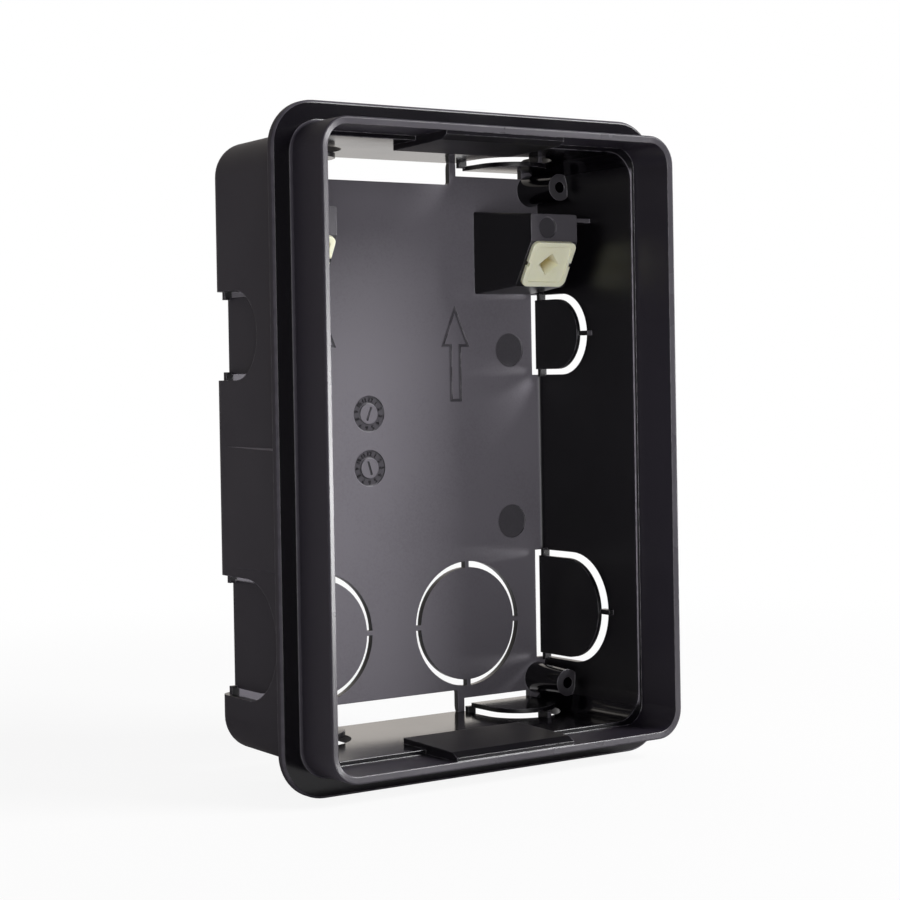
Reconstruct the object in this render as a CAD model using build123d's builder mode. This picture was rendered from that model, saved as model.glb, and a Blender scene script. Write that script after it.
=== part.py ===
"""Recessed light mounting box.

A black moulded flush box: a collar and a wall flange at the front, a drafted box behind them with
break-out cable entries, screw bosses, snap catches and two hollow towers. Each tower holds a nylon
screw grommet in its slanted face.
"""

import os
from math import atan, cos, degrees, radians, sin, tan

from build123d import *

# Millimetres. X runs across the box, Y into the wall and Z up.
# Y = 0 is the rear of the flange, which bears on the wall, and the box is centred on X and Z.

# Collar and flange, in front of the wall
collar_width = 101.0
collar_height = 148.0
collar_depth = 13.2
collar_wall = 1.7
collar_corner = 7.0
collar_root = 0.5
rim_edge = 0.3
rim_bevel = 1.3
rim_bevel_depth = 0.32
flange_thickness = 2.0
flange_overhang = 5.0
flange_corner = 11.0
flange_chamfer = 0.5

# Box, behind the flange
box_depth = 38.6
inner_step = 1.1
wall = 1.8
draft = 0.9
plate = 1.7
box_corner = 8.5
rear_round = 3.6
inner_round = 1.0

# Raised band on the outside of each side wall; at the rear it has faded below the wall's surface
band_top = 0.2
band_bottom = -28.5
band_rise = 0.7
band_fade = 0.05

# Windows through the back plate, at both ends, where the mould forms the catches
window_width = 38.6
window_height = 5.7
window_corner = 0.8

# Snap catches for the lamp, on the top wall and the floor; heights are from the collar's inside
catch_width = 33.9
catch_inset = 0.5
catch_reach = 7.6
catch_lip = 0.9
catch_bevel = 2.0
catch_front = 2.0
catch_rear = 2.55

# Screw bosses
boss_spacing_x = 90.4
boss_spacing_z = 129.4
boss_length = 13.1
boss_tip_radius = 3.5
boss_base_radius = 4.1
boss_hole_radius = 1.45
boss_hole_depth = 10.0

# Towers: free-standing, tied to the side wall by a thin web; width and height are at the back plate
tower_gap = 2.4
tower_z = 48.0
tower_width = 18.5
tower_height = 21.4
tower_length = 22.4
tower_draft = 4.9
tower_face = 6.9
tower_slant = 30.0
tower_wall = 1.8
tower_round = 0.6
tower_pin_shift = 2.05
tower_pin_radius = 2.7
web_drop = 1.4
web_thickness = 1.0

# Nylon screw grommets
grommet_width = 13.6
grommet_height = 12.5
grommet_head = 1.0
grommet_corner = 1.8
grommet_border = 1.3
grommet_sink = 0.3
grommet_notch = 1.1
grommet_notch_depth = 0.55
grommet_shank = 8.0
grommet_length = 7.5
grommet_clearance = 0.1
grommet_barb = 0.5
grommet_hole = 4.6
grommet_hole_taper = 20.0
grommet_hole_depth = 4.5

# Cable entries through the walls: a panel set inside each opening, held by three thin bridges
small_entry = 21.2
small_entry_reach = 22.1
large_entry = 28.7
large_entry_reach = 29.1
upper_entry_z = 26.55
lower_entry_z = -45.05
end_entry_x = 31.9
entry_slot = 1.45
entry_gap = 1.0
panel_thickness = 1.15
panel_rear_gap = 1.1
side_notch = 2.6
end_notch = 3.4
bridge_width = 1.2
bridge_nub = 2.1
bridge_bite = 0.5

# Round cable entries in the back plate
knockout_radius = 16.2
knockout_slot = 1.6
knockout_bridge = 1.2
knockout_x = 22.8
knockout_z = -48.45

# Marks in the back plate: arrows, ejector pins and date dials
arrow_x = 20.3
arrow_tip_z = 34.2
arrow_head_z = 23.6
arrow_bottom_z = 9.4
arrow_head_half = 4.4
arrow_shaft_half = 1.8
arrow_line = 0.7
pin_x = 37.7
pin_z = 22.6
pin_radius = 4.4
dial_x = -6.5
dial_z = 6.85
dial_radius = 4.55
dial_hub = 2.6
dial_slot_width = 0.6
dial_slot_length = 3.6
upper_dial_turn = -21.0
lower_dial_turn = 17.0
mark_sink = 0.3

# Sizes that follow from the ones above
rim_y = -flange_thickness - collar_depth
plate_front = box_depth - plate
collar_inner_x = collar_width / 2 - collar_wall
collar_inner_z = collar_height / 2 - collar_wall
inner_x = collar_inner_x - inner_step
inner_z = collar_inner_z - inner_step
rear_x = inner_x + wall
rear_z = inner_z + wall
tower_x = inner_x - tower_gap - tower_width / 2
tower_front = plate_front - tower_length
tower_front_top = tower_z + tower_height / 2 - tower_length * tan(radians(tower_draft))
slant_top = tower_front_top - tower_face


def across(y):
    """Plane across the box at depth y; a sketch on it reads as seen from the front."""
    return Plane.XZ.offset(-y)


def at_depth(y):
    """Edges of the box that lie wholly at depth y."""
    return mounting_box.edges().filter_by_position(Axis.Y, y - 0.01, y + 0.01)


def slant_cut(depth):
    """Sketch, in Y and Z, of all that lies in front of the slant sunk by depth."""
    run = sin(radians(tower_slant))
    fall = cos(radians(tower_slant))
    top_y = tower_front + depth * fall
    top_z = slant_top + depth * run
    Polygon(
        (top_y - tower_height * run, top_z + tower_height * fall),
        (top_y + tower_height * run, top_z - tower_height * fall),
        (top_y - tower_height, top_z - tower_height * fall),
        (top_y - tower_height, top_z + tower_height * fall),
        align=None,
    )


def entry_outline(width, apex, rear):
    """Sketch of a cable entry: local x runs to the rear, with a half round at the apex."""
    radius = width / 2
    with Locations((apex + radius, 0)):
        Circle(radius)
        Rectangle(radius, width, align=(Align.MIN, Align.CENTER), mode=Mode.SUBTRACT)
        Rectangle(rear - apex - radius, width, align=(Align.MIN, Align.CENTER))


# The slanted face of the right tower: local x across it, local y up it
slant_face = Plane(
    origin=(
        tower_x,
        tower_front + grommet_height / 2 * sin(radians(tower_slant)),
        slant_top - grommet_height / 2 * cos(radians(tower_slant)),
    ),
    x_dir=(1, 0, 0),
    z_dir=(0, -cos(radians(tower_slant)), -sin(radians(tower_slant))),
)

with BuildPart() as tower:
    with BuildSketch(across(plate_front)):
        with Locations((tower_x, tower_z)):
            Rectangle(tower_width, tower_height)
    extrude(amount=tower_length, taper=tower_draft)
    fillet(tower.edges().filter_by(lambda edge: abs(edge.tangent_at(0.5).Y) > 0.9), tower_round)
    with BuildSketch(Plane.YZ.offset(tower_x - tower_width)):
        slant_cut(0)
    extrude(amount=2 * tower_width, mode=Mode.SUBTRACT)

# What the mould's core leaves empty inside a tower: open at the rear, with a square hole in the slant
core_rear = box_depth + plate
core_growth = 2 * (core_rear - plate_front) * tan(radians(tower_draft)) - 2 * tower_wall
with BuildPart() as tower_core:
    with BuildSketch(across(core_rear)):
        with Locations((tower_x, tower_z)):
            Rectangle(tower_width + core_growth, tower_height + core_growth)
    extrude(amount=core_rear - tower_front - tower_wall, taper=tower_draft)
    with BuildSketch(Plane.YZ.offset(tower_x - tower_width)):
        slant_cut(tower_wall)
    extrude(amount=2 * tower_width, mode=Mode.SUBTRACT)
    with BuildSketch(slant_face.offset(grommet_head)):
        Rectangle(grommet_shank + 2 * grommet_clearance, grommet_shank + 2 * grommet_clearance)
    extrude(amount=-grommet_head - 2 * tower_wall)

# Screw bosses, trimmed where they run into the side walls
boss_draft = degrees(atan((boss_base_radius - boss_tip_radius) / boss_length))
with BuildPart() as bosses:
    with BuildSketch(across(plate_front)):
        with GridLocations(boss_spacing_x, boss_spacing_z, 2, 2):
            Circle(boss_base_radius)
    extrude(amount=boss_length, taper=boss_draft)
    with BuildSketch(across(plate_front)):
        Rectangle(2 * inner_x + wall / 2, 2 * inner_z)
    extrude(amount=boss_length, mode=Mode.INTERSECT)

with BuildPart() as mounting_box:
    # Outside: the box grows towards the flange by its draft, then come the flange and the collar
    with BuildSketch(across(box_depth)):
        RectangleRounded(2 * rear_x, 2 * rear_z, box_corner)
    extrude(amount=box_depth, taper=-draft)
    fillet(at_depth(box_depth), rear_round)
    with BuildSketch(across(0)):
        RectangleRounded(
            collar_width + 2 * flange_overhang, collar_height + 2 * flange_overhang, flange_corner
        )
    extrude(amount=flange_thickness)
    chamfer(at_depth(-flange_thickness), flange_chamfer)
    with BuildSketch(across(-flange_thickness)):
        RectangleRounded(collar_width, collar_height, collar_corner)
    extrude(amount=collar_depth)
    root = at_depth(-flange_thickness).filter_by(
        lambda edge: abs(edge.center().X) < collar_width / 2 + 0.1
        and abs(edge.center().Z) < collar_height / 2 + 0.1
    )
    chamfer(root, collar_root)

    # Inside: the box, then the wider collar, whose rim leans in towards the lamp
    with BuildSketch(across(plate_front)):
        RectangleRounded(2 * inner_x, 2 * inner_z, box_corner - wall)
    extrude(amount=plate_front - rim_y, mode=Mode.SUBTRACT)
    with BuildSketch(across(-flange_thickness)):
        RectangleRounded(2 * collar_inner_x, 2 * collar_inner_z, collar_corner - collar_wall)
    extrude(amount=collar_depth, mode=Mode.SUBTRACT)
    rim = mounting_box.faces().sort_by(Axis.Y)[0]
    chamfer(rim.inner_wires()[0].edges(), rim_bevel, rim_bevel_depth, reference=rim)
    chamfer(mounting_box.faces().sort_by(Axis.Y)[0].outer_wire().edges(), rim_edge)

    # Raised bands, bevelled at both ends, which run out into the draft at the rear
    band_foot = rear_x - wall / 2
    for side in (-1, 1):
        for y, rise in ((0, band_rise), (box_depth - rear_round, -band_fade)):
            wall_surface = rear_x + (box_depth - y) * tan(radians(draft))
            foot_spread = wall_surface - band_foot
            with BuildSketch(across(y)):
                Polygon(
                    (side * band_foot, band_bottom - foot_spread),
                    (side * band_foot, band_top + foot_spread),
                    (side * (wall_surface + rise), band_top - rise),
                    (side * (wall_surface + rise), band_bottom + rise),
                    align=None,
                )
        loft()

    # Snap catches, bevelled where the lamp pushes in and square where it hooks
    for end in (-1, 1):
        with BuildSketch(Plane.YZ.offset(-catch_width / 2)):
            with BuildLine():
                Polyline(
                    (rim_y + catch_inset, end * (collar_inner_z + collar_wall / 2)),
                    (rim_y + catch_inset, end * (collar_inner_z - catch_lip)),
                    (rim_y + catch_inset + catch_bevel, end * (collar_inner_z - catch_front)),
                    (catch_reach, end * (collar_inner_z - catch_rear)),
                    (catch_reach, end * (inner_z + wall / 2)),
                    (0, end * (inner_z + wall / 2)),
                    (-flange_thickness / 2, end * (collar_inner_z + collar_wall / 2)),
                    close=True,
                )
            make_face()
        extrude(amount=catch_width)

    # Windows
    for end in (-1, 1):
        with BuildSketch(across(plate_front - plate)) as window:
            with Locations((0, end * (inner_z - window_height / 2))):
                Rectangle(window_width, window_height)
            fillet(window.vertices().sort_by(Axis.Y, reverse=end < 0)[:2], window_corner)
        extrude(amount=-3 * plate, mode=Mode.SUBTRACT)

    # Towers, with the webs that tie them to the side walls, and screw bosses
    for side in (-1, 1):
        with BuildSketch(across(plate_front)):
            with Locations((side * (tower_x + inner_x + wall / 4) / 2, tower_front_top - web_drop)):
                Rectangle(inner_x + wall / 4 - tower_x, web_thickness)
        extrude(amount=tower_length)
    add(tower.part)
    add(tower.part.mirror(Plane.YZ))
    add(tower_core.part, mode=Mode.SUBTRACT)
    add(tower_core.part.mirror(Plane.YZ), mode=Mode.SUBTRACT)
    add(bosses.part)
    with BuildSketch(across(plate_front - boss_length)):
        with GridLocations(boss_spacing_x, boss_spacing_z, 2, 2):
            Circle(boss_hole_radius)
    extrude(amount=-boss_hole_depth, mode=Mode.SUBTRACT)

    # Cable entries through the walls
    entries = []
    for side in (-1, 1):
        for end in (-1, 1):
            end_centre = (side * end_entry_x, 0, end * inner_z)
            entries.append((end_centre, (0, 0, end), small_entry, small_entry_reach, end_notch))
        upper = (side * inner_x, 0, upper_entry_z)
        entries.append((upper, (side, 0, 0), small_entry, small_entry_reach, side_notch))
        lower = (side * inner_x, 0, lower_entry_z)
        entries.append((lower, (side, 0, 0), large_entry, large_entry_reach, side_notch))
    panel_rear = plate_front - panel_rear_gap
    for centre, outward, width, reach, notch in entries:
        wall_face = Plane(origin=centre, x_dir=(0, 1, 0), z_dir=outward)
        apex = box_depth - reach
        with BuildSketch(wall_face.offset(-notch)):
            entry_outline(width, apex, box_depth + 1)
        extrude(amount=notch + 3 * wall, mode=Mode.SUBTRACT)
        with BuildSketch(wall_face.offset(-entry_gap - panel_thickness)):
            entry_outline(width - 2 * entry_slot, apex + entry_slot, panel_rear)
        extrude(amount=panel_thickness)
        with BuildSketch(wall_face.offset(-entry_gap - bridge_bite)):
            with Locations((apex + (entry_slot + bridge_bite - bridge_nub) / 2, 0)):
                Rectangle(entry_slot + bridge_bite + bridge_nub, bridge_width)
            bridge_middle = (width - entry_slot) / 2
            with Locations(
                (panel_rear - bridge_width / 2, bridge_middle),
                (panel_rear - bridge_width / 2, -bridge_middle),
            ):
                Rectangle(bridge_width, entry_slot + 2 * bridge_bite)
        extrude(amount=entry_gap + 2 * bridge_bite)

    # Rounded corners between the back plate and the side walls, from one cable entry to the next
    for side in (-1, 1):
        corner = at_depth(plate_front).filter_by_position(
            Axis.X, side * inner_x - 0.01, side * inner_x + 0.01
        )
        fillet(corner.sort_by(SortBy.LENGTH)[-1], inner_round)

    # Round cable entries in the back plate, each held by four bridges
    with BuildSketch(across(plate_front - plate)):
        with Locations((-knockout_x, knockout_z), (knockout_x, knockout_z)):
            Circle(knockout_radius)
            Circle(knockout_radius - knockout_slot, mode=Mode.SUBTRACT)
            Rectangle(2 * knockout_radius + 1, knockout_bridge, mode=Mode.SUBTRACT)
            Rectangle(knockout_bridge, 2 * knockout_radius + 1, mode=Mode.SUBTRACT)
    extrude(amount=-3 * plate, mode=Mode.SUBTRACT)

    # Marks: arrows in outline, ejector pins, date dials
    with BuildSketch(across(plate_front)):
        for side in (-1, 1):
            with BuildLine():
                Polyline(
                    (side * arrow_x, arrow_tip_z),
                    (side * arrow_x + arrow_head_half, arrow_head_z),
                    (side * arrow_x + arrow_shaft_half, arrow_head_z),
                    (side * arrow_x + arrow_shaft_half, arrow_bottom_z),
                    (side * arrow_x - arrow_shaft_half, arrow_bottom_z),
                    (side * arrow_x - arrow_shaft_half, arrow_head_z),
                    (side * arrow_x - arrow_head_half, arrow_head_z),
                    close=True,
                )
            make_face()
        offset(amount=-arrow_line, kind=Kind.INTERSECTION, mode=Mode.SUBTRACT)
        with GridLocations(2 * pin_x, 2 * pin_z, 2, 2):
            Circle(pin_radius)
        for z, turn in ((dial_z, upper_dial_turn), (-dial_z, lower_dial_turn)):
            with Locations((dial_x, z)):
                Circle(dial_radius)
                Circle(dial_hub, mode=Mode.SUBTRACT)
                Rectangle(dial_slot_width, dial_slot_length, rotation=turn)
    extrude(amount=-mark_sink, mode=Mode.SUBTRACT)
    with BuildSketch(across(tower_front)):
        for side in (-1, 1):
            with Locations((side * (tower_x - tower_pin_shift), slant_top + tower_face / 2)):
                Circle(tower_pin_radius)
    extrude(amount=-mark_sink, mode=Mode.SUBTRACT)

# Cuts across the slanted face: local x across it, local y into the tower
slant_section = Plane(origin=slant_face.origin, x_dir=(1, 0, 0), z_dir=slant_face.y_dir)
barb_start = tower_wall + grommet_clearance

with BuildPart() as screw_grommet_right:
    with BuildSketch(slant_face):
        RectangleRounded(grommet_width, grommet_height, grommet_corner)
        with Locations((-grommet_width / 2, 0), (grommet_width / 2, 0)):
            Rectangle(2 * grommet_notch_depth, grommet_notch, mode=Mode.SUBTRACT)
    extrude(amount=grommet_head)
    with BuildSketch(slant_face.offset(grommet_head)):
        RectangleRounded(
            grommet_width - 2 * grommet_border, grommet_height - 2 * grommet_border, grommet_corner / 2
        )
    extrude(amount=-grommet_sink, mode=Mode.SUBTRACT)
    with BuildSketch(slant_face):
        Rectangle(grommet_shank, grommet_shank)
    extrude(amount=-grommet_length)
    for side in (-1, 1):
        with BuildSketch(slant_section):
            with BuildLine():
                Polyline(
                    (side * grommet_shank / 2, barb_start),
                    (side * (grommet_shank / 2 + grommet_barb), barb_start),
                    (side * grommet_shank / 2, grommet_length),
                    (0, grommet_length),
                    (0, barb_start),
                    close=True,
                )
            make_face()
        extrude(amount=grommet_shank / 4, both=True)
    with BuildSketch(slant_face.offset(grommet_head)):
        Rectangle(grommet_hole, grommet_hole, rotation=45)
    extrude(amount=-grommet_hole_depth, taper=grommet_hole_taper, mode=Mode.SUBTRACT)

with BuildPart() as screw_grommet_left:
    mirror(screw_grommet_right.part, about=Plane.YZ)

os.makedirs("parts", exist_ok=True)
mounting_box.part.label = "mounting_box"
export_step(mounting_box.part, "parts/mounting_box.step")
screw_grommet_left.part.label = "screw_grommet_left"
export_step(screw_grommet_left.part, "parts/screw_grommet_left.step")
screw_grommet_right.part.label = "screw_grommet_right"
export_step(screw_grommet_right.part, "parts/screw_grommet_right.step")
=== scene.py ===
# %% [markdown]
# # A black flush box for a recessed light
#
# The box is one injection moulding in black plastic, with two cream nylon grommets pushed into it.
# Its shape comes from the CAD model, so this lesson is about looks: where the camera stands, what
# a glossy black part needs to see around itself, and how one plastic can be dull in one place and
# polished in another.

# %% Load the CAD model
import math

import bmesh
import bpy
from mathutils import Matrix, Quaternion, Vector


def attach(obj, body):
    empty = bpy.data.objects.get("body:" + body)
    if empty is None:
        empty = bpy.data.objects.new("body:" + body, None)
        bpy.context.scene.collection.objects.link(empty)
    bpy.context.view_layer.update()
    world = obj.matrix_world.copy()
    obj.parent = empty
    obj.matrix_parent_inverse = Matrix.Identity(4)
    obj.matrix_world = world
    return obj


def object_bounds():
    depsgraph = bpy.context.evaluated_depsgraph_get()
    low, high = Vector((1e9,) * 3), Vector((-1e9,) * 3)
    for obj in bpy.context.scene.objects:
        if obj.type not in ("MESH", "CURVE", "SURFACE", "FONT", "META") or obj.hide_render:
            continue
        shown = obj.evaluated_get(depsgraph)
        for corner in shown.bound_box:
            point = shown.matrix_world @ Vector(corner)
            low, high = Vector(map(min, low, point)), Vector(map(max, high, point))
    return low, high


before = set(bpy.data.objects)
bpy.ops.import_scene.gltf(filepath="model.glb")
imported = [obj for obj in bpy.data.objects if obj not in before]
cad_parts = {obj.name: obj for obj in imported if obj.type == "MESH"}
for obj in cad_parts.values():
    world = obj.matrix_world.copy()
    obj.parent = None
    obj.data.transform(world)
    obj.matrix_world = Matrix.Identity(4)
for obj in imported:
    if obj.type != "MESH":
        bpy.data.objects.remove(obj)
cad_low, cad_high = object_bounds()
MM = 0.001
print("nodes:", sorted(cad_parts))

# %% [markdown]
# ## Camera
#
# The photograph was taken from the front left, almost level, with a long lens. A camera can be
# placed by eye, but here its numbers were fitted to the straight edges of the box. Yaw, pitch and
# roll turn a camera that starts out looking along +Y. The picture is a crop, so its centre isn't
# where the lens pointed: a small shift puts the frame back without turning the camera, which would
# change the perspective.

# %% Camera
yaw = math.radians(34.841)
pitch = math.radians(-0.718)
roll = math.radians(-0.977)
view = Vector(
    (math.sin(yaw) * math.cos(pitch), math.cos(yaw) * math.cos(pitch), math.sin(pitch))
)
lens = bpy.data.cameras.new("photo_camera")
lens.sensor_width = 36.0
lens.lens = 82.15
lens.shift_x = -0.0090
lens.shift_y = -0.0580
lens.clip_start = 0.01
camera = bpy.data.objects.new("photo_camera", lens)
camera.location = (-283.64 * MM, -400.66 * MM, 17.01 * MM)
camera.rotation_mode = "QUATERNION"
camera.rotation_quaternion = view.to_track_quat("-Z", "Y") @ Quaternion((0, 0, 1), roll)
bpy.context.scene.collection.objects.link(camera)
bpy.context.scene.camera = camera
bpy.context.scene.view_settings.view_transform = "Standard"
print("camera at", [round(c, 3) for c in camera.location])

# %% [markdown]
# ## Shader arithmetic
#
# A finish is a small calculation that runs at every point of a surface. Writing it as nodes is
# long, so this class wraps a socket: `a * b`, `1 - mask` and the like add the Math nodes, `a | b` is
# the larger of two masks, and `node` adds any other kind.


# %% A socket that can be calculated with
class Wire:
    """A socket in a node tree. Arithmetic on wires adds Math nodes to the tree."""

    def __init__(self, tree, socket=None):
        self.tree = tree
        self.socket = socket

    def node(self, kind, settings=None, inputs=None, output=0):
        """Add a node: settings first, then the values or links of its sockets."""
        made = self.tree.nodes.new(kind)
        for name, value in (settings or {}).items():
            setattr(made, name, value)
        for name, value in (inputs or {}).items():
            if isinstance(value, Wire):
                self.tree.links.new(value.socket, made.inputs[name])
            else:
                made.inputs[name].default_value = value
        return Wire(self.tree, made.outputs[output] if made.outputs else None)

    def math(self, operation, *values):
        return self.node("ShaderNodeMath", {"operation": operation}, dict(enumerate(values)))

    def __add__(self, other):
        return self.math("ADD", self, other)

    def __sub__(self, other):
        return self.math("SUBTRACT", self, other)

    def __rsub__(self, other):
        return self.math("SUBTRACT", other, self)

    def __mul__(self, other):
        return self.math("MULTIPLY", self, other)

    def __or__(self, other):
        return self.math("MAXIMUM", self, other)

    __radd__ = __add__
    __rmul__ = __mul__
    __ror__ = __or__

    def __abs__(self):
        return self.math("ABSOLUTE", self)

    def step(self, low, high):
        """0 at low, 1 at high, smooth between; low may be the larger."""
        return self.node(
            "ShaderNodeMapRange",
            {"interpolation_type": "SMOOTHSTEP"},
            {"Value": self, "From Min": low, "From Max": high},
        )

    def vector(self, operation, inputs, output=0):
        return self.node("ShaderNodeVectorMath", {"operation": operation}, inputs, output)

    def axes(self):
        """The X, Y and Z of a vector."""
        split = self.node("ShaderNodeSeparateXYZ", {}, {0: self}).socket.node
        return [Wire(self.tree, part) for part in split.outputs]

    def mix(self, factor, first, second):
        """A colour between first and second."""
        return self.node(
            "ShaderNodeMix", {"data_type": "RGBA"}, {0: factor, 6: first, 7: second}, 2
        )

    def coordinate(self, kind):
        return self.node("ShaderNodeTexCoord", {}, {}, kind)

    def noise(self, scale, detail):
        """Noise from 0 to 1 over a place; a larger scale is finer."""
        return self.node(
            "ShaderNodeTexNoise", {}, {"Vector": self, "Scale": scale, "Detail": detail}
        )

    def ray(self, kind):
        """1 for light paths of this kind, and 0 for the others."""
        return self.node("ShaderNodeLightPath", {}, {}, f"Is {kind} Ray")


def new_material(name):
    material = bpy.data.materials.new(name)
    material.use_nodes = True
    material.node_tree.nodes.clear()
    return material, Wire(material.node_tree)


print("shader arithmetic ready")

# %% [markdown]
# ## Studio
#
# A glossy black part shows its surroundings more than its own colour. In the photograph white is
# behind the box and the room in front of it is dark, so the table ends 20 cm in front of the box:
# the flange stays black while its lower edge turns grey. The table could be a plane with a picture
# of a backdrop. A sheet of a few vertices with rounded corners is enough here.

# %% White table
table_size = (1.6, 1.3)
table_middle = 0.1
table_front = -0.20
table_corner = 0.2
sheet = bmesh.new()
bmesh.ops.create_grid(sheet, x_segments=1, y_segments=1, size=0.5)
bmesh.ops.scale(sheet, verts=sheet.verts, vec=(table_size[0], table_size[1], 1))
bmesh.ops.translate(
    sheet, verts=sheet.verts, vec=(table_middle, table_front + table_size[1] / 2, cad_low[2])
)
bmesh.ops.bevel(
    sheet,
    geom=sheet.verts,
    offset=table_corner,
    segments=8,
    profile=0.5,
    affect="VERTICES",
    material=-1,
)
mesh = bpy.data.meshes.new("white_table")
sheet.to_mesh(mesh)
sheet.free()
table = bpy.data.objects.new("white_table", mesh)
bpy.context.scene.collection.objects.link(table)
print("table faces:", len(mesh.polygons))

# %% [markdown]
# The paper on the table glows white for the camera, and near the box a tenth of it is lit paper
# instead, which takes a faint shadow. In what the gloss mirrors, the paper is lit near the box and
# fades into the white backdrop further out. More light would also whiten it, but it would bleach
# the box too.

# %% White paper
paper, wire = new_material("white_paper")
glow_near_box = 0.90
distance = wire.vector("LENGTH", {0: wire.coordinate("Object")}, "Value")
mirrored = wire.ray("Glossy") | wire.ray("Transmission")
white = wire.ray("Camera") * (glow_near_box + distance.step(0.18, 0.42) * (1 - glow_near_box))
white = white + mirrored * distance.step(0.35, 0.90)
lit = wire.node("ShaderNodeBsdfDiffuse", {}, {"Color": (0.85, 0.85, 0.85, 1)})
glow = wire.node("ShaderNodeEmission", {}, {"Color": (1, 1, 1, 1), "Strength": 1.0})
mixed = wire.node("ShaderNodeMixShader", {}, {0: white, 1: lit, 2: glow})
wire.node("ShaderNodeOutputMaterial", {}, {"Surface": mixed})
table.data.materials.append(paper)
print("paper on", table.name)

# %% [markdown]
# The room is a gradient: a warm white backdrop behind and to the right, which falls off to the left
# and fades to a dark room in front. The dark has a trace of violet, as the black plastic of the
# photograph has. The camera always sees white. Big white cards round the box could do the same, and
# the gradient does it with no objects to hide.

# %% Room
room = bpy.data.worlds.new("studio")
bpy.context.scene.world = room
room.use_nodes = True
room.node_tree.nodes.clear()
air = Wire(room.node_tree)
dark_room = 0.06
low_backdrop = 0.68
high_backdrop = 1.05
left_end = 0.35
violet_dark = (0.96, 0.87, 1.15, 1)
warm_white = (1, 0.94, 0.88, 1)
across, behind, up = air.coordinate("Generated").axes()
backdrop = low_backdrop + up.step(0.02, 0.15) * (high_backdrop - low_backdrop)
backdrop = backdrop * (left_end + across.step(-0.5, 0.3) * (1 - left_end))
is_backdrop = behind.step(0.1, 0.6)
level = dark_room + is_backdrop * (backdrop - dark_room)
tint = air.mix(is_backdrop, violet_dark, warm_white)
seen = air.ray("Camera") | air.ray("Transmission")
shade = air.node(
    "ShaderNodeBackground",
    {},
    {"Color": air.mix(seen, tint, (1, 1, 1, 1)), "Strength": level + seen * (1 - level)},
)
air.node("ShaderNodeOutputWorld", {}, {"Surface": shade})
print("dark room", dark_room, "left end of the backdrop", left_end)

# %% [markdown]
# The lamps are large and soft. The main one stands front right and high: from there it reaches
# past the right wall on to the back plate. A smaller one at the right lights the left rim, and a
# low fill near the camera opens up the shadows inside.

# %% Lamps


def softbox(name, azimuth, elevation, distance, size, watts):
    """Square lamp around the box; azimuth 0 is straight in front, 90 to the right."""
    lamp = bpy.data.lights.new(name, "AREA")
    lamp.size = size
    lamp.energy = watts
    holder = bpy.data.objects.new(name, lamp)
    a, e = math.radians(azimuth), math.radians(elevation)
    away = Vector((math.sin(a) * math.cos(e), -math.cos(a) * math.cos(e), math.sin(e)))
    holder.location = away * distance
    holder.rotation_euler = away.to_track_quat("Z", "Y").to_euler()
    bpy.context.scene.collection.objects.link(holder)
    print(name, watts, "W")


softbox("key_softbox", 44, 32, 1.1, 0.5, 15.0)
softbox("side_softbox", 60, -4, 1.0, 0.25, 5.5)
softbox("fill_softbox", -24, -3, 1.3, 0.8, 8.5)

# %% [markdown]
# ## Black plastic
#
# One plastic, several finishes. The back plate is dull and dark grey, as plastic from spark-eroded
# steel is, and so are the fronts of the towers; their grey is partly that dull tone and partly a
# painted sheen. The box could be cut into pieces with a material each, but it is one moulding. Each
# finish is found by where a point lies and which way its surface faces instead: a mask is 1 inside
# its area and 0 outside. Places are in millimetres, as in the CAD model. First come the surfaces
# that face the room.

# %% Surfaces that face the room
rim_y = -15.2
ledge_y = -2.0
tower_y = 14.5
boss_y = 23.8
plate_y = 36.9


def in_millimetres(place):
    """The X, Y and Z of a place, which Blender gives in metres."""
    return place.vector("SCALE", {0: place, "Scale": 1000.0}).axes()


def layer(low, high, soft):
    """1 between the depths low and high, fading over soft at both."""
    return y.step(low, low + soft) * y.step(high, high - soft)


black, wire = new_material("black_plastic")
place = wire.coordinate("Object")
x, y, z = in_millimetres(place)
facing_x, facing_y, facing_z = wire.coordinate("Normal").axes()
front = facing_y.step(-0.80, -0.93)
plate = front * layer(plate_y - 0.6, plate_y + 0.7, 0.3)
sunk = plate * y.step(plate_y + 0.10, plate_y + 0.25)
tower_front = front * layer(tower_y - 0.7, tower_y + 1.1, 0.5)
tower_pin = tower_front * y.step(tower_y + 0.10, tower_y + 0.20)
boss_tip_highlight = front * layer(boss_y - 0.6, boss_y + 0.8, 0.3)
rim = y.step(rim_y + 0.40, rim_y + 0.34) * facing_y.step(-0.5, -0.8)
flange_front = front * y.step(ledge_y + 1.5, ledge_y + 0.5)
print("masks: plate, sunk marks, tower fronts, boss tips, rim, flange")

# %% [markdown]
# The outside and the inside of the collar are satin. The flange, the top, the floor and the bosses
# look nearly polished in the photograph: they mirror what is around them. A point is outside when its
# surface faces away from the middle of the box, or to the rear. The snap catches keep the finish of
# the side walls.

# %% Outside, collar and polished areas
inner_x = 47.7
inner_z = 71.2
catch_half = 16.95
catch_y = 7.6
within = abs(x).step(inner_x - 1.1, inner_x - 1.7) * abs(z).step(inner_z - 1.0, inner_z - 1.6)
outwards = (x * facing_x + z * facing_z).step(10, 30) * (1 - within)
outside = outwards | facing_y.step(0.3, 0.7)
catch = abs(x).step(catch_half + 0.35, catch_half - 0.05) * y.step(catch_y + 0.4, catch_y - 0.2)
collar_inside = (1 - outside) * (1 - front) * (1 - catch) * y.step(ledge_y + 1.0, ledge_y - 0.2)
top_and_floor = abs(facing_z).step(0.80, 0.95) * abs(z).step(58, 64) * (1 - catch)
bosses = abs(x).step(39, 41) * abs(x).step(inner_x - 0.7, inner_x - 1.1) * abs(z).step(59, 60.5)
polished = flange_front | top_and_floor | bosses
print("masks: outside, catches, collar, polished areas")
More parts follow.
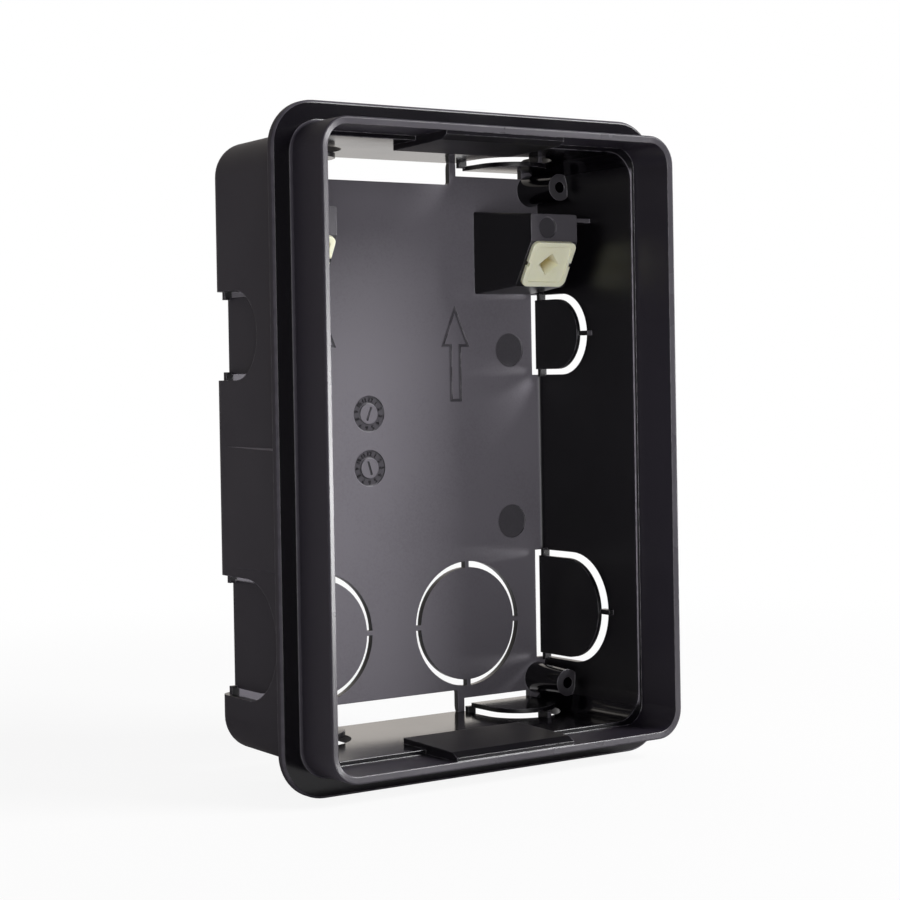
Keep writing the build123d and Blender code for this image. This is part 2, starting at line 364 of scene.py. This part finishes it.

# %% [markdown]
# Three edges show as pale lines of light in the photograph: the bevel round the flange, the ledge
# inside the collar, and the upper edge of the raised band outside. In this light they hardly show by
# themselves, so each gets a mask and a painted highlight.

# %% Edges with painted highlights
on_flange = layer(ledge_y - 0.3, ledge_y + 0.8, 0.2)
flange_edge_highlight = abs(facing_y + 0.7).step(0.2, 0.1) * on_flange
ledge_highlight = front * on_flange * abs(x).step(inner_x + 0.6, inner_x + 0.3) * abs(z).step(68, 66)
band_edge_highlight = abs(x).step(inner_x + 0.1, inner_x + 0.5) * abs(z).step(3, 2) * facing_z.step(0.3, 0.6)
print("masks: flange edge, ledge, band edge")

# %% [markdown]
# The colour is nearly black with a trace of violet, greyer where the surface is dull or scuffed. On
# the plate and the tower fronts that grey is partly their dull tone and partly a painted sheen, and
# the boss tips and the upper edge of the raised band get painted highlights. Slow clouds keep the
# plate from looking painted, and a fine noise stands for the pits of eroded steel.

# %% Colour


def violet_grey(level):
    return (level * 1.07, level, level * 1.15, 1)


def violet_black(level):
    return (level * 1.2, level, level * 1.5, 1)


clouds = place.noise(45.0, 4.0)
erosion = place.noise(1700.0, 2.0)
# Painted sheen: part of the plate's grey; the smooth sunk marks get less of it.
dull_grey_and_sheen = plate * (1 - sunk * 0.6) * (0.66 + clouds * 0.32 + erosion * 0.36)
colour = wire.mix(dull_grey_and_sheen, violet_black(0.003), violet_grey(0.135))
# Painted sheen, likewise, on the tower fronts, with less of it on their pin marks.
colour = wire.mix(tower_front * (0.75 - tower_pin * 0.35), colour, violet_grey(0.088))
# Painted highlight: the boss tips are lightened to grey.
colour = wire.mix(boss_tip_highlight * 0.6, colour, violet_grey(0.06))
colour = wire.mix(rim * (0.4 + clouds * 0.6), colour, violet_grey(0.072))
colour = wire.mix(outside, colour, violet_black(0.018))
# Painted highlight along the upper edge of the raised band.
colour = wire.mix(band_edge_highlight, colour, violet_grey(0.16))
colour = wire.mix(collar_inside, colour, violet_black(0.018))
print("colour from", violet_black(0.003)[:3], "to", violet_grey(0.135)[:3])

# %% [markdown]
# Handling wears the edges pale, and the same pale grey also serves as a painted highlight on edges
# that would catch the light. The Bevel node rounds the sharp edges where light meets them, and where
# its normal has turned away from the flat one, there is an edge. Specks break the pale line up, so
# that it isn't a drawn line. The painted highlights of the flange edge and the ledge are added to
# it. A worn texture could be painted, but it would have to be stored.

# %% Worn edges and painted edge highlights
grain = place.noise(2600.0, 2.0)
waves = place.noise(90.0, 1.0)
specks = place.noise(420.0, 3.0)
bevel = wire.node("ShaderNodeBevel", {"samples": 8}, {"Radius": 0.40 * MM})
flat_normal = wire.node("ShaderNodeNewGeometry", {}, {}, "True Normal")
turned = wire.vector("DOT_PRODUCT", {0: bevel, 1: flat_normal}, "Value")
# Pale grey on turned edges: partly wear and partly painted highlight.
wear_and_edge_highlights = turned.step(0.98, 0.75) * specks.step(0.40, 0.62)
wear_and_edge_highlights = wear_and_edge_highlights + flange_edge_highlight * specks * 0.35 + ledge_highlight * (0.8 + specks)
colour = wire.mix(wear_and_edge_highlights * 0.6, colour, violet_grey(0.26))
relief = grain * plate * 0.9 + grain * outside * 0.5 + waves * (1 - plate) * 0.15
bump = wire.node(
    "ShaderNodeBump",
    {},
    {"Strength": 0.35, "Distance": 0.05 * MM, "Height": relief, "Normal": bevel},
)
print("wear and relief on the edges")

# %% [markdown]
# Roughness follows the same masks. What has no mask, such as the side walls, the sides of the towers
# and the catches, gets a middling gloss.

# %% Roughness, and the plastic on the box
dullness = plate * (1 - sunk * 0.5) + tower_front * 0.7 + rim * 0.35 + outside * 1.35
dullness = dullness + collar_inside * 0.5 + boss_tip_highlight * 0.4
dullness = dullness | ((1 - polished) * 0.55)
roughness = 0.08 + clouds * 0.13 + dullness * 0.38
plastic = wire.node(
    "ShaderNodeBsdfPrincipled",
    {},
    {"Base Color": colour, "Roughness": roughness, "Normal": bump, "IOR": 1.5},
)
wire.node("ShaderNodeOutputMaterial", {}, {"Surface": plastic})
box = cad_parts["mounting_box"]
box.data.materials.clear()
box.data.materials.append(black)
print("black plastic on", box.name)

# %% [markdown]
# ## Date dials
#
# A mould carries small steel inserts with a pointer and a ring of numbers, which show the date a
# part was made. The CAD model has the sunk rings and the pointers. The raised numbers are text:
# each numeral becomes a mesh first, and only then is it turned to its place on the ring. Half of its
# thickness is sunk into the ring's floor, so no gap shows below it.

# %% Numerals on the dials
dial_x = -6.5 * MM
dial_z = 6.85 * MM
ring_floor = 37.2 * MM
numeral_radius = 3.55 * MM
numeral_size = 1.55 * MM
numeral_rise = 0.22 * MM


def numeral_mesh(number):
    """A numeral that lies in X and Y, extruded both ways."""
    text = bpy.data.curves.new("numeral", "FONT")
    text.body = str(number)
    text.size = numeral_size
    text.align_x = "CENTER"
    text.align_y = "CENTER"
    text.extrude = numeral_rise
    text.resolution_u = 2
    holder = bpy.data.objects.new("numeral", text)
    made = bpy.data.meshes.new_from_object(holder)
    bpy.data.objects.remove(holder)
    bpy.data.curves.remove(text)
    return made


upright = Matrix.Rotation(math.radians(90), 4, "X")
out_to_ring = Matrix.Translation((0, 0, numeral_radius))
ring = bmesh.new()
for centre_z, first_turn in ((dial_z, 10), (-dial_z, 0)):
    centre = Matrix.Translation((dial_x, ring_floor, centre_z))
    for number in range(1, 13):
        turn = Matrix.Rotation(math.radians(first_turn + 30 * number), 4, "Y")
        numeral = numeral_mesh(number)
        numeral.transform(centre @ turn @ out_to_ring @ upright)
        ring.from_mesh(numeral)
        bpy.data.meshes.remove(numeral)
mesh = bpy.data.meshes.new("dial_numerals")
ring.to_mesh(mesh)
ring.free()
numerals = bpy.data.objects.new("dial_numerals", mesh)
bpy.context.scene.collection.objects.link(numerals)
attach(numerals, "root")
print("numeral faces:", len(mesh.polygons))

# %% [markdown]
# In the photograph the dials are darker than the dull plate around them, so the numbers get a
# polished black. A fine noise moves both its colour and its gloss, to keep it from looking flat.

# %% Polished black on the numerals
insert_black, wire = new_material("polished_black")
specks = wire.coordinate("Object").noise(900.0, 2.0)
gloss = wire.node(
    "ShaderNodeBsdfPrincipled",
    {},
    {
        "Base Color": wire.mix(specks, violet_grey(0.006), violet_grey(0.03)),
        "Roughness": 0.2 + specks * 0.2,
        "IOR": 1.5,
    },
)
wire.node("ShaderNodeOutputMaterial", {}, {"Surface": gloss})
numerals.data.materials.append(insert_black)
print("polished black on", numerals.name)

# %% [markdown]
# ## Nylon
#
# Natural nylon is cream and slightly see-through, so light enters it and comes out nearby. A
# little subsurface scattering does that. Moulded nylon is never quite even in colour: a slow noise
# moves it between cream and straw. Inside the square hole the colour is darker and browner, a
# painted shade for the depth of the hole: `depth` is measured square to the slanted face of the
# tower, from the middle of that face.

# %% Colour of the nylon
slant = math.radians(30)
face_y = 17.62
face_z = 44.47
nylon, wire = new_material("natural_nylon")
place = wire.coordinate("Object")
clouds = place.noise(260.0, 3.0)
colour = wire.mix(clouds, (0.86, 0.85, 0.61, 1), (0.95, 0.94, 0.73, 1))
x, y, z = in_millimetres(place)
depth = (y - face_y) * math.cos(slant) + (z - face_z) * math.sin(slant)
# Painted shade: darker brown inside the square hole, fullest between 2.2 and 3.6 mm in.
hole_shade = depth.step(-0.5, 2.2) * depth.step(4.5, 3.6)
colour = wire.mix(hole_shade, colour, (0.46, 0.38, 0.17, 1))
print("hole tinted from the face inwards, slant", round(math.degrees(slant)), "degrees")

# %% [markdown]
# The edges of a small moulding are slightly round, which the Bevel node shows without new faces, and
# the same noise that moves the colour also makes the surface a little uneven.

# %% Nylon grommets
bevel = wire.node("ShaderNodeBevel", {"samples": 6}, {"Radius": 0.25 * MM})
bump = wire.node(
    "ShaderNodeBump",
    {},
    {"Strength": 0.2, "Distance": 0.05 * MM, "Height": clouds, "Normal": bevel},
)
cream = wire.node(
    "ShaderNodeBsdfPrincipled",
    {},
    {
        "Base Color": colour,
        "Roughness": 0.32 + clouds * 0.12,
        "Normal": bump,
        "IOR": 1.53,
        "Subsurface Weight": 0.3,
        "Subsurface Radius": (1.0, 0.9, 0.6),
        "Subsurface Scale": 1.2 * MM,
    },
)
wire.node("ShaderNodeOutputMaterial", {}, {"Surface": cream})
for name in ("screw_grommet_left", "screw_grommet_right"):
    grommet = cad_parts[name]
    grommet.data.materials.clear()
    grommet.data.materials.append(nylon)
    print("nylon on", grommet.name)
